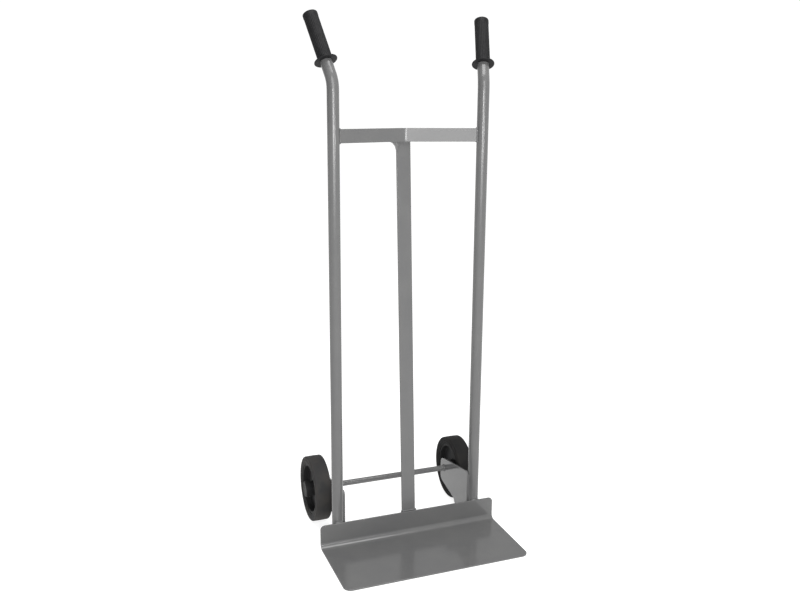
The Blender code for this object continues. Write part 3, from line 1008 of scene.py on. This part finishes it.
@dataclass
class AxleSet(SubAssembly):
    """The axle, its four washers and its two split pins."""

    chamfer: float = 0.001
    washer_edge: float = 0.0004
    wire: float = 0.0016
    leg_spread: float = 0.0019
    eye_radius: float = 0.003
    leg_reach: float = 0.005
    tip_spread: float = 0.0045
    hole_clearance: float = 0.0003
    plug_share: float = 1.5
    sides: int = 96
    washer_sides: int = 64
    hole_sides: int = 32
    wire_sides: int = 16
    eye_points: int = 13
    bar_steps: int = 4
    washer_steps: int = 3

    def build(self) -> None:
        """Make the bar, the washers and the pins."""
        box = Box.of("axle")
        half, radius = box.size[0] / 2, box.size[2] / 2
        corners = [
            (0.0, -half, 0.0),
            (radius, -half, self.chamfer),
            (radius, half, self.chamfer),
            (0.0, half, 0.0),
        ]
        profile = rounded(corners, self.bar_steps, closed=False)
        hole = self.leg_spread / 2 + self.wire / 2 + self.hole_clearance
        plug = np.array(((hole, -radius * self.plug_share), (hole, radius * self.plug_share)))
        plugs = []
        for side in Side:
            pin = Box.of(side.named("split_pin")).centre
            centre = np.array((pin[0], *box.centre[1:]))
            plugs.append(turned(plug, centre, UP, self.hole_sides))
            self.build_pin(side, centre, radius)
            for place in ("inner", "outer"):
                self.build_washer(side.named(place + "_washer"), radius)
        bar = turned(profile, box.centre, RIGHT, self.sides)
        self.add("axle_bar", [Skin(bar, Ends.OPEN)], PAINT, node="axle", holes=plugs)

    def build_washer(self, node: str, bore: float) -> None:
        """Turn a flat ring with softened edges.

        Args:
            node: The washer's node.
            bore: The axle's radius.
        """
        box = Box.of(node)
        half, outer = box.size[0] / 2, box.size[2] / 2
        inner = bore + WELD_GAP
        edge = self.washer_edge
        corners = [(inner, -half, edge), (outer, -half, edge), (outer, half, edge), (inner, half, edge)]
        ring = turned(rounded(corners, self.washer_steps), box.centre, RIGHT, self.washer_sides)
        self.add(node + "_ring", [Skin(ring, Ends.JOINED)], ZINC, node=node)

    def build_pin(self, side: Side, centre: Array, axle_radius: float) -> None:
        """Carry a wire up a leg, round the eye and down the other leg, its tips spread.

        Args:
            side: The trolley's side.
            centre: Where the pin crosses the axle's middle line.
            axle_radius: The axle's radius.
        """
        leg = self.leg_spread / 2
        eye = axle_radius + self.wire + self.eye_radius
        start = math.asin(leg / self.eye_radius)
        turn = np.linspace(start - math.pi / 2, math.pi / 2, self.eye_points)
        arc = np.stack((self.eye_radius * np.cos(turn), eye + self.eye_radius * np.sin(turn)), axis=1)
        legs = np.array(
            (
                (self.tip_spread, -axle_radius - self.leg_reach),
                (leg + self.wire / 2, -axle_radius - self.leg_reach / 2),
                (leg, -axle_radius),
                (leg, axle_radius),
            )
        )
        half = np.concatenate((legs, arc))
        outline = np.concatenate((half, half[-2::-1] * (-1, 1)))
        path = centre + np.concatenate((np.zeros((len(outline), 1)), outline), axis=1)
        node = side.named("split_pin")
        grid = tube(path, RIGHT, self.wire / 2, self.wire_sides)
        self.add(node + "_wire", [Skin(grid)], ZINC, node=node)


def mirrored(corners: Sequence[Corner]) -> list[Corner]:
    """Corners of the other half, in running order."""
    return [(radius, -height, edge) for radius, height, edge in reversed(corners)]


@dataclass
class Wheel(SubAssembly):
    """What turns together: tyre, moulded centre, bearing cage and hub cap."""

    side: Side = Side.LEFT
    shoulder: float = 0.0035
    crown: float = 0.0005
    mould_line: float = 0.0012
    mould_flat: float = 0.0004
    side_recess: float = 0.0015
    lip_height: float = 0.005
    ring_start: float = 0.0045
    ring_slope: float = 0.001
    ring_floor: float = 0.002
    ring_depth: float = 0.0008
    seat_clearance: float = 0.0003
    rim_width: float = 0.038
    rim_wall: float = 0.0045
    rim_draft: float = 0.002
    web: float = 0.007
    web_fillet: float = 0.0025
    hub_wall: float = 0.0067
    bearing_wall: float = 0.0047
    bearing_inset: float = 0.0005
    groove: float = 0.0012
    collar: float = 0.006
    cap_wall: float = 0.0015
    cap_overlap: float = 0.006
    cap_edge: float = 0.003
    dish_share: float = 0.62
    dish_slope: float = 0.0008
    dish_depth: float = 0.0004
    soft_edge: float = 0.0008
    plain_edge: float = 0.0006
    ring_edge: float = 0.0005
    fine_edge: float = 0.0004
    least_edge: float = 0.0003
    sides: int = 192
    cap_sides: int = 96
    bearing_sides: int = 64
    steps: int = 6
    cap_steps: int = 8
    bearing_steps: int = 3

    def __post_init__(self) -> None:
        """Read the wheel's places from its nodes."""
        self.tyre = Box.of(self.side.named("tyre"))
        self.axle = Box.of("axle")
        self.centre = self.tyre.centre
        self.axis = (float(self.side.value), 0.0, 0.0)
        self.seat = Box.of(self.side.named("wheel_rim")).size[2] / 2
        self.bore = self.axle.size[2] / 2 + WELD_GAP
        self.hub_bore = self.bore + self.bearing_wall + WELD_GAP
        self.hub = self.hub_bore + self.hub_wall
        self.outer_end, self.inner_end = self.reaches("wheel_rim")

    def reaches(self, piece: str) -> list[float]:
        """How far a piece's two ends lie from the tyre's middle plane, the nearer one first."""
        box = Box.of(self.side.named(piece))
        return sorted(abs(end - self.centre[0]) for end in (box.low[0], box.high[0]))

    def put(self, piece: str, suffix: str, profile: Array, ends: Ends, finish: Finish, sides: int) -> None:
        """Turn a profile about the axle and let it ride on this side's wheel.

        Args:
            piece: Which of the wheel's nodes it stands for, without its side.
            suffix: What its name adds to the node's.
            profile: (radius, height) points, with height outwards from the tyre's middle plane.
            ends: How the first and the last point are closed.
            finish: Its finish.
            sides: Number of sides round the axle.
        """
        node = self.side.named(piece)
        grid = turned(profile, self.centre, self.axis, sides)
        self.add(f"{node}_{suffix}", [Skin(grid, ends)], finish, self.side.named("wheel"), node)

    def build(self) -> None:
        """Make the wheel's four pieces."""
        self.build_tyre()
        self.build_rim()
        self.build_bearing()
        self.build_cap()

    def build_tyre(self) -> None:
        """Turn the tyre: slightly crowned tread with a mould line, rings on the side walls.

        The right tyre is painted darker than the left, with a darker copy of the same rubber: painted shade.
        """
        radius, half = self.tyre.size[2] / 2, self.tyre.size[0] / 2
        seat = self.seat + self.seat_clearance
        lip = seat + self.lip_height
        recess = half - self.side_recess
        ring = lip + self.ring_start
        floor = ring + self.ring_slope
        floor_end = floor + self.ring_floor
        wall = [
            (seat, recess, self.soft_edge),
            (lip, recess, self.soft_edge),
            (lip + self.side_recess, half, self.soft_edge),
            (ring, half, self.plain_edge),
            (floor, half - self.ring_depth, self.ring_edge),
            (floor_end, half - self.ring_depth, self.ring_edge),
            (floor_end + self.ring_slope, half, self.plain_edge),
            (radius - self.crown, half, self.shoulder),
            (radius, self.mould_line, self.fine_edge),
            (radius, self.mould_flat, 0.0),
        ]
        profile = rounded(wall + mirrored(wall), self.steps)
        # The right tyre takes the darker copy of the rubber, which is painted shade.
        rubber = RUBBER if self.side is Side.LEFT else SHADED_RUBBER
        self.put("tyre", "rubber", profile, Ends.JOINED, rubber, self.sides)

    def build_rim(self) -> None:
        """Turn the off-centre hub, the thin web and the band under the tyre."""
        band = self.seat - self.rim_wall
        half_rim, half_web = self.rim_width / 2, self.web / 2
        mouth = self.outer_end - self.cap_overlap - WELD_GAP
        half = [
            (self.hub, mouth, self.least_edge),
            (self.hub + self.rim_draft, half_web, self.web_fillet),
            (band - self.rim_draft, half_web, self.web_fillet),
            (band, half_rim, self.soft_edge),
            (self.seat, half_rim, self.plain_edge),
        ]
        start = [(self.hub_bore, self.outer_end, self.fine_edge), (self.hub, self.outer_end, self.plain_edge)]
        end = [(self.hub, -self.inner_end, self.soft_edge), (self.hub_bore, -self.inner_end, self.fine_edge)]
        profile = rounded(start + half + mirrored(half) + end, self.steps)
        self.put("wheel_rim", "moulding", profile, Ends.JOINED, MOULDING, self.sides)

    def build_bearing(self) -> None:
        """Turn the cage: a sleeve with a collar at each end."""
        outer = self.bore + self.bearing_wall
        waist = outer - self.groove
        top = self.outer_end - self.bearing_inset
        bottom = self.bearing_inset - self.inner_end
        places = [
            (self.bore, top),
            (outer, top),
            (outer, top - self.collar),
            (waist, top - self.collar),
            (waist, bottom + self.collar),
            (outer, bottom + self.collar),
            (outer, bottom),
            (self.bore, bottom),
        ]
        profile = rounded([(*place, self.least_edge) for place in places], self.bearing_steps)
        self.put("bearing", "cage", profile, Ends.JOINED, NYLON, self.bearing_sides)

    def build_cap(self) -> None:
        """Turn the cup over the hub's outer end, with a shallow dish in its face."""
        inner = self.hub + WELD_GAP
        outer = inner + self.cap_wall
        top = self.reaches("hub_cap")[1]
        mouth = self.outer_end - self.cap_overlap
        dish = outer * self.dish_share
        floor = top - self.dish_depth
        corners = [
            (0.0, floor - self.cap_wall, 0.0),
            (inner, floor - self.cap_wall, self.cap_wall),
            (inner, mouth, self.fine_edge),
            (outer, mouth, self.fine_edge),
            (outer, top, self.cap_edge),
            (dish + self.dish_slope, top, self.fine_edge),
            (dish, floor, self.fine_edge),
            (0.0, floor, 0.0),
        ]
        profile = rounded(corners, self.cap_steps, closed=False)
        self.put("hub_cap", "moulding", profile, Ends.OPEN, MOULDING, self.cap_sides)


@dataclass(frozen=True)
class BeadForm:
    """What every weld bead has in common.

    The overlap is a share of the turn between the two faces, the bow a share of the ripples' pitch,
    and the other shares are of the leg.
    """

    overlap_share: float = 0.12
    swell_share: float = 0.12
    ripple_share: float = 0.035
    root_share: float = 0.25
    bow_share: float = 0.35
    most_ripple: float = 0.00015
    pitch: float = 0.0028
    taper: float = 0.003
    columns: int = 13
    spacing: float = 0.00045
    least_points: int = 8


BEAD = BeadForm()


def bead(
    path: Array,
    first: Sequence[float] | Array,
    second: Sequence[float] | Array,
    leg: float,
    closed: bool = False,
    hollow: bool = False,
    taper: float = BEAD.taper,
) -> Skin:
    """Lay a weld bead in the corner between two faces.

    Round the bead, the direction turns from one face to the other, a little past both. With t the
    share of that turn, the distance from the corner is leg * (1 + swell * sin(pi * t)). On a hollow
    bead it is leg * (cos a + sin a - sqrt(sin 2a)) with a = t * pi / 2, which is a quarter circle
    that touches both faces. Along the bead, crescent ripples of a steady pitch lift the face, and
    an open bead draws in to a point at each end.

    Args:
        path: The corner's points.
        first: Direction along the first face, away from the corner, at each point or for all.
        second: The same for the second face.
        leg: Length of the bead along each face.
        closed: Whether the bead runs round to its start.
        hollow: Whether its face is a quarter circle between two faces at right angles.
        taper: Length over which an open bead draws in.

    Returns:
        The bead's skin.
    """
    first = np.broadcast_to(unit(np.array(first, float)), path.shape)
    second = np.broadcast_to(unit(np.array(second, float)), path.shape)
    wedge = np.arccos(np.clip(np.sum(first * second, axis=1), -1.0, 1.0))[:, None]
    share = np.linspace(-BEAD.overlap_share, 1 + BEAD.overlap_share, BEAD.columns)
    from_first = np.sin((1 - share) * wedge) / np.sin(wedge)
    from_second = np.sin(share * wedge) / np.sin(wedge)
    rays = from_first[..., None] * first[:, None] + from_second[..., None] * second[:, None]

    steps = np.linalg.norm(np.diff(path, axis=0), axis=1)
    along = np.concatenate(([0.0], np.cumsum(steps)))
    inside = np.clip(share, 0.0, 1.0)
    middle = np.sin(math.pi * inside)
    half_turn = inside * math.pi / 2
    fillet = np.cos(half_turn) + np.sin(half_turn) - np.sqrt(middle)
    phase = (along[:, None] / BEAD.pitch + BEAD.bow_share * middle) * 2 * math.pi
    ripple = min(BEAD.ripple_share * leg, BEAD.most_ripple) * middle * np.sin(phase)
    reach = leg * (fillet if hollow else 1 + BEAD.swell_share * middle) + ripple
    if not closed:
        from_end = np.clip(np.minimum(along, along[-1] - along) / taper, 0.0, 1.0)
        reach = reach * np.sqrt(np.clip(1 - (1 - from_end) ** 2, 0.0, 1.0))[:, None]
    face = path[:, None] + reach[..., None] * rays
    back = path - reach[:, :1] * BEAD.root_share * unit(first + second)
    grid = np.concatenate((face, back[:, None]), axis=1)
    return Skin(grid[:-1] if closed else grid, Ends.JOINED if closed else Ends.OPEN)


def line_between(start: Sequence[float] | Array, end: Sequence[float] | Array) -> Array:
    """Space points evenly along a straight corner.

    Args:
        start: Its first end.
        end: Its last end.

    Returns:
        The points, both ends among them.
    """
    start, end = np.array(start, float), np.array(end, float)
    count = max(BEAD.least_points, int(np.linalg.norm(end - start) / BEAD.spacing))
    return start + np.linspace(0.0, 1.0, count)[:, None] * (end - start)


@dataclass
class Welds(SubAssembly):
    """The beads that hold the frame together, painted over with it.

    A groove is the wedge between a face and the round rail beside it. Its sides are directions with
    one part along the face and one part away from it.
    """

    leg: float = 0.0042
    groove_leg: float = 0.00462
    small_leg: float = 0.0030
    fine_leg: float = 0.0022
    web_leg: float = 0.022
    web_taper: float = 0.0015
    groove: float = 0.0055
    groove_side: tuple[float, float] = (0.76, 0.65)
    front_side: tuple[float, float] = (0.25, 0.97)
    post_side: float = 0.08
    foot_start: float = 0.020
    overrun: float = 0.003
    shortfall: float = 0.004
    bracket_tops: tuple[float, float] = (0.138, 0.140)
    end_inset: float = 0.0005
    rim_turn: float = 0.75
    rim_points: int = 60
    axle_points: int = 121
    bar_corner: float = 0.001
    bar_steps: int = 8
    bar_points: int = 241

    def __post_init__(self) -> None:
        """Read the places of what is welded."""
        self.toe, self.bar, self.post = Box.of("toe_plate"), Box.of("crossbar"), Box.of("centre_post")

    def build(self) -> None:
        """Lay the beads joint by joint."""
        self.build_post_beads()
        for side in Side:
            line = HandleLine(side)
            self.build_rail_foot(side, line)
            self.build_crossbar_end(side, line)
            self.build_bracket_beads(side, line)

    def build_rail_foot(self, side: Side, line: HandleLine) -> None:
        """Lay two upright beads in the grooves behind the upstand and one over its top edge.

        Args:
            side: The trolley's side.
            line: The rail's middle line.
        """
        back, top = self.toe.high[1], self.toe.high[2]
        along, away = self.groove_side
        skins = []
        for out in (-1, 1):
            x = line.x + out * self.groove
            path = line_between((x, back, self.foot_start), (x, back, top + self.overrun))
            skins.append(bead(path, (out, 0, 0), (out * along, away, 0), self.groove_leg))
        turn = np.linspace(-self.rim_turn, self.rim_turn, self.rim_points)
        spoke = np.stack((np.sin(turn), -np.cos(turn), 0 * turn), axis=1)
        path = np.array((line.x, line.y, top)) + spoke * line.radius
        skins.append(bead(path, UP, spoke, self.fine_leg))
        self.add(side.named("rail_foot_weld"), skins, PAINT)

    def build_crossbar_end(self, side: Side, line: HandleLine) -> None:
        """Lay one bead round the bar's end, against the rail's inside.

        Args:
            side: The trolley's side.
            line: The rail's middle line.
        """
        outline = soft_section(self.bar.size[2] / 2, BAR_THICKNESS / 2, self.bar_corner, self.bar_steps)
        outline = np.concatenate((outline, outline[:1]))
        length = np.concatenate(([0.0], np.cumsum(np.linalg.norm(np.diff(outline, axis=0), axis=1))))
        at = np.linspace(0.0, length[-1], self.bar_points)
        z, y = (np.interp(at, length, outline[:, k]) for k in (0, 1))
        ahead = [np.gradient(np.concatenate((v[-2:-1], v, v[1:2])))[1:-1] for v in (z, y)]
        out = unit(np.stack((0 * z, -ahead[0], ahead[1]), axis=1))
        x = np.full(len(at), side.value * self.bar.high[0])
        path = np.stack((x, line.y + y, self.bar.centre[2] + z), axis=1)
        inward = (-side.value, 0, 0)
        self.add(side.named("crossbar_weld"), [bead(path, inward, out, self.fine_leg, closed=True)], PAINT)

    def build_post_beads(self) -> None:
        """Lay beads down the post's sides behind the crossbar and the upstand, and across it.

        Along the post's front face, a point at level z is foot + lean * (z - the foot's level).
        """
        half = self.post.size[0] / 2
        foot = np.array((0.0, self.post.low[1], self.post.low[2]))
        head = np.array((0.0, self.post.high[1] - BAR_THICKNESS, self.post.high[2]))
        lean = (head - foot) / (head[2] - foot[2])
        low, high, rim = self.bar.low[2], self.bar.high[2], self.toe.high[2]

        def on_post(x: float, z: float) -> Array:
            """Point of the post's front face."""
            return foot + lean * (z - foot[2]) + (x, 0, 0)

        top, bottom = [], []
        for out in (-1, 1):
            x = out * half
            line = line_between(on_post(x, low + self.end_inset), on_post(x, high - self.shortfall))
            top.append(bead(line, (out, self.post_side, 0), (0, 1, 0), self.leg))
            line = line_between(on_post(x, self.foot_start), on_post(x, rim + self.overrun))
            bottom.append(bead(line, (out, 0, 0), (0, 1, 0), self.small_leg))
        line = line_between(on_post(-half, low), on_post(half - self.end_inset, low))
        top.append(bead(line, (0, -1, 0), -UP, self.small_leg))
        web = line_between((-half, self.bar.high[1] - BAR_THICKNESS, low), (-half, self.post.high[1], low))
        top.append(bead(web, (-1, 0, 0), -UP, self.web_leg, hollow=True, taper=self.web_taper))
        line = line_between(on_post(-half, rim), on_post(half, rim))
        bottom.append(bead(line, (0, -1, 0), UP, self.fine_leg))
        self.add("post_top_weld", top, PAINT)
        self.add("post_foot_weld", bottom, PAINT)

    def build_bracket_beads(self, side: Side, line: HandleLine) -> None:
        """Lay upright beads along the bracket and the rail, and a ring round the axle.

        Args:
            side: The trolley's side.
            line: The rail's middle line.
        """
        box, axle = Box.of(side.named("wheel_bracket")), Box.of("axle")
        out = side.value
        inner, outer = (out * x for x in sorted((abs(box.low[0]), abs(box.high[0]))))
        start = box.low[2] + self.shortfall
        front_top, rear_top = self.bracket_tops
        along, away = self.groove_side
        y = line.y + self.groove
        front = line_between((outer, box.low[1], start), (outer, box.low[1], front_top))
        rear = line_between((outer, y, start), (outer, y, rear_top))
        turn = np.linspace(0.0, 2 * math.pi, self.axle_points)
        spoke = np.stack((0 * turn, np.cos(turn), np.sin(turn)), axis=1)
        ring = np.array((inner, *axle.centre[1:])) + spoke * axle.size[2] / 2
        skins = [
            bead(front, (-out, 0, 0), (out * self.front_side[0], -self.front_side[1], 0), self.fine_leg),
            bead(rear, (0, 1, 0), (out * away, along, 0), self.groove_leg),
            bead(ring, (-out, 0, 0), spoke, self.small_leg, closed=True),
        ]
        self.add(side.named("bracket_weld"), skins, PAINT)


@dataclass(frozen=True)
class Softbox:
    """A rectangular studio light that faces a point on the trolley."""

    name: str
    place: tuple[float, float, float]
    aim: tuple[float, float, float]
    width: float
    height: float
    power: float

    def put(self) -> None:
        """Hang the light."""
        light = bpy.data.lights.new(self.name, "AREA")
        light.shape = "RECTANGLE"
        light.size = self.width
        light.size_y = self.height
        light.energy = self.power
        lamp = bpy.data.objects.new(self.name, light)
        lamp.location = self.place
        facing = Vector(self.aim) - Vector(self.place)
        lamp.rotation_euler = facing.to_track_quat("-Z", "Y").to_euler()
        bpy.context.scene.collection.objects.link(lamp)


@dataclass
class Studio:
    """The pale floor, the soft light and the camera at the photograph's viewpoint."""

    camera_place: tuple[float, float, float] = (-0.79507, -2.03274, 1.15936)
    camera_yaw: float = 0.3634
    camera_pitch: float = 0.2300
    camera_roll: float = 0.0063
    lens: float = 39.003
    sensor: float = 36.0
    floor_half: float = 30.0
    floor_grey: float = 0.40
    floor_glow: float = 0.84
    floor_roughness: float = 0.9
    sky_horizon: float = 1.05
    sky_top: float = 0.60
    sky_front: float = 0.71
    sky_left: float = 0.10
    rise_range: tuple[float, float] = (0.14, 0.45)
    front_range: tuple[float, float] = (-0.3, 0.3)
    left_range: tuple[float, float] = (-0.9, -0.25)
    softboxes: tuple[Softbox, ...] = (
        Softbox("front_softbox", (-0.85, -4.0, 2.30), (0.0, 0.0, 2.30), 2.9, 3.8, 131.0),
        Softbox("top_softbox", (0.0, -0.6, 3.6), (0.0, -0.1, 0.0), 2.2, 1.8, 80.0),
        Softbox("strip_light", (-0.66, -2.3, 1.08), (0.0, 0.03, 1.05), 0.30, 0.48, 8.0),
        Softbox("bend_light", (0.42, -2.3, 0.98), (0.0, 0.03, 1.07), 0.30, 0.16, 3.2),
    )

    def build(self) -> None:
        """Put everything up."""
        self.put_floor()
        self.put_sky()
        self.put_camera()
        for softbox in self.softboxes:
            softbox.put()
        bpy.context.scene.view_settings.view_transform = "Standard"

    def put_floor(self) -> None:
        """Lay a wide pale floor with a glow of its own, so that it stays as pale as the surround."""
        half = self.floor_half
        mesh = bpy.data.meshes.new("floor")
        corners = [(-half, -half, 0.0), (half, -half, 0.0), (half, half, 0.0), (-half, half, 0.0)]
        mesh.from_pydata(corners, [], [(0, 1, 2, 3)])
        material = bpy.data.materials.new("pale_floor")
        material.use_nodes = True
        shader = material.node_tree.nodes["Principled BSDF"]
        shader.inputs["Base Color"].default_value = (*[self.floor_grey] * 3, 1.0)
        shader.inputs["Roughness"].default_value = self.floor_roughness
        shader.inputs["Specular IOR Level"].default_value = 0.0
        shader.inputs["Emission Color"].default_value = (1.0, 1.0, 1.0, 1.0)
        shader.inputs["Emission Strength"].default_value = self.floor_glow
        mesh.materials.append(material)
        floor = bpy.data.objects.new("floor", mesh)
        bpy.context.scene.collection.objects.link(floor)

    def put_sky(self) -> None:
        """Put up a white surround, evenly lit in front, dimmer to the left and towards the top.

        The strength fades from the horizon's to the top's with the direction's Z. It gives way to
        the front's where Y turns to the front, and is lessened where X turns to the left.
        """
        world = bpy.data.worlds.new("studio")
        world.use_nodes = True
        tree = world.node_tree
        place = tree.nodes.new("ShaderNodeTexCoord").outputs["Generated"]
        split = tree.nodes.new("ShaderNodeSeparateXYZ")
        tree.links.new(place, split.inputs["Vector"])
        x, y, z = (split.outputs[label] for label in "XYZ")
        fade = map_node(tree, z, self.rise_range, (self.sky_horizon, self.sky_top))
        blend = map_node(tree, y, self.front_range, (self.sky_front, 1.0), smooth=True)
        tree.links.new(fade.outputs["Result"], blend.inputs["To Max"])
        side = map_node(tree, x, self.left_range, (self.sky_left, 1.0), smooth=True)
        both = tree.nodes.new("ShaderNodeMath")
        both.operation = "MULTIPLY"
        for factor, node in zip(both.inputs, (blend, side)):
            tree.links.new(node.outputs["Result"], factor)
        background = tree.nodes["Background"]
        tree.links.new(both.outputs["Value"], background.inputs["Strength"])
        background.inputs["Color"].default_value = (1.0, 1.0, 1.0, 1.0)
        bpy.context.scene.world = world

    def put_camera(self) -> None:
        """Set the camera from its yaw towards +X, its pitch downwards and its roll."""
        yaw, pitch, roll = self.camera_yaw, self.camera_pitch, self.camera_roll
        ahead = math.cos(pitch)
        forward = Vector((math.sin(yaw) * ahead, math.cos(yaw) * ahead, -math.sin(pitch)))
        right = Vector((math.cos(yaw), -math.sin(yaw), 0.0))
        up = right.cross(forward)
        right_rolled = math.cos(roll) * right + math.sin(roll) * up
        up_rolled = math.cos(roll) * up - math.sin(roll) * right
        lens = bpy.data.cameras.new("photo_camera")
        lens.lens = self.lens
        lens.sensor_width = self.sensor
        camera = bpy.data.objects.new("photo_camera", lens)
        turn = Matrix((right_rolled, up_rolled, -forward)).transposed().to_4x4()
        camera.matrix_world = Matrix.Translation(self.camera_place) @ turn
        bpy.context.scene.collection.objects.link(camera)
        bpy.context.scene.camera = camera


def main() -> None:
    """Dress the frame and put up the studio."""
    logging.basicConfig(level=logging.INFO, format="%(name)s: %(message)s")
    Studio().build()
    assemblies: list[SubAssembly] = [ToePlate(), CrossFrame(), AxleSet(), Welds()]
    for side in Side:
        assemblies += [Rail(side=side), Grip(side=side), WheelBracket(side=side), Wheel(side=side)]
    for assembly in assemblies:
        assembly.build()


if __name__ == "__main__":
    main()
